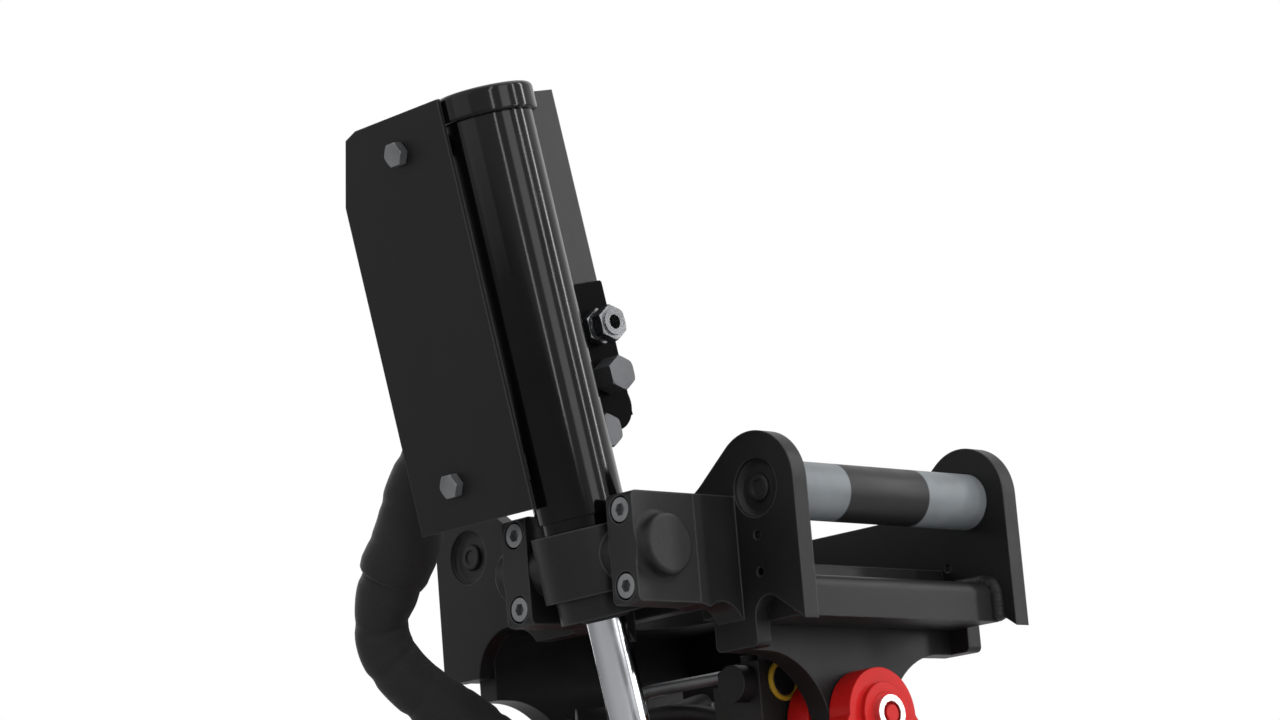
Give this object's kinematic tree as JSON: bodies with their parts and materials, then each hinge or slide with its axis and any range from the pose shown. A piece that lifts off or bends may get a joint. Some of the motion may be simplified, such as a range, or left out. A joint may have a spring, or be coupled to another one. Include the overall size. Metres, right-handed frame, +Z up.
{
  "type": "excavator tilt rotator",
  "caption": "Tilt rotator for a small excavator: a pin bracket with a trunnion-mounted tilt cylinder, a worm-driven rotor housing that tilts under it and a quick hitch that turns below",
  "frame": {"origin": "where the rotor's turning axis meets the ground that the hitch stands on", "axes": "+Z up along the turning axis; +X along the tilt axis, towards the front hook; +Y along the hitch pins, away from the tilt cylinder"},
  "size_m": [0.392, 0.4365, 0.7272],
  "materials": {
    "satin_black": "satin powder coat",
    "gloss_black": "gloss paint",
    "pin_steel": "ground steel",
    "bronze": "machined bronze",
    "zinc": "zinc plated",
    "chrome": "hard chrome",
    "red": "semi-gloss paint",
    "valve_metal": "cast and machined",
    "black_plastic": "moulded",
    "seal_yellow": "matt seal",
    "sleeve": "woven protective sleeve over hydraulic hoses"
  },
  "bodies": {
    "hitch": {"rotor_flange": "pin_steel", "hitch_top_plate": "satin_black", "hitch_side_near": "satin_black", "hitch_side_far": "satin_black", "hitch_beam": "satin_black", "flange_bolts": "zinc", "lock_housing": "satin_black"},
    "lock": {"lock_bars": "pin_steel"},
    "housing": {"housing": "red", "tilt_shaft_front": "red", "tilt_shaft_rear": "red", "shaft_nut_front": "zinc", "shaft_nut_rear": "zinc", "worm_cap": "satin_black", "rotor_motor": "satin_black", "swivel_cap": "satin_black", "valve_block": "valve_metal", "solenoids": "black_plastic", "valve_ring": "seal_yellow", "steel_pipe": "zinc", "hose_socket": "satin_black"},
    "bracket": {"side_plate_near": "satin_black", "side_plate_far": "satin_black", "tongue_front": "satin_black", "tongue_rear": "satin_black", "beam_front": "satin_black", "beam_rear": "satin_black", "deck": "satin_black", "pin_front": "pin_steel", "pin_rear": "pin_steel", "tilt_bush_front": "bronze", "tilt_bush_rear": "bronze", "block_front": "satin_black", "block_rear": "satin_black", "trunnion_bush_front": "bronze", "trunnion_bush_rear": "bronze", "block_screws": "zinc", "hose_sleeve_upper": "sleeve", "hose_sleeve_lower": "sleeve"},
    "barrel": {"barrel": "gloss_black", "end_cap": "satin_black", "collar": "satin_black", "gland": "satin_black", "guard_front_plate": "satin_black", "guard_back_plate": "satin_black", "guard_spacers": "satin_black", "guard_bolts": "zinc", "port_block": "satin_black", "port_adapter": "zinc", "port_plugs": "zinc"},
    "rod": {"rod": "chrome", "piston": "pin_steel", "rod_eye": "pin_steel", "rod_pin": "pin_steel"}
  },
  "joints": [
    {"name": "turn", "type": "hinge", "parent": "hitch", "child": "housing", "pos_m": [0, 0, 0.138], "axis": [0, 0, 1], "continuous": true},
    {"name": "tilt", "type": "hinge", "parent": "housing", "child": "bracket", "pos_m": [0, 0, 0.28], "axis": [-1, 0, 0], "range_deg": [-40, 40], "deforming": ["hose_sleeve_upper", "hose_sleeve_lower"]},
    {"name": "swing", "type": "hinge", "parent": "bracket", "child": "barrel", "pos_m": [0.083, -0.187, 0.3925], "axis": [1, 0, 0], "range_deg": [-14, 14]},
    {"name": "stroke", "type": "slide", "parent": "barrel", "child": "rod", "axis": [0, 0.2079, -0.9781], "range_m": [-0.118, 0.118]},
    {"name": "lock", "type": "slide", "parent": "hitch", "child": "lock", "axis": [-1, 0, 0], "range_m": [0, 0.046]}
  ],
  "couplings": [
    {"joint": "swing", "follows": "tilt", "ratio": 0.331},
    {"joint": "stroke", "follows": "tilt", "m_per_rad": 0.16226}
  ]
}
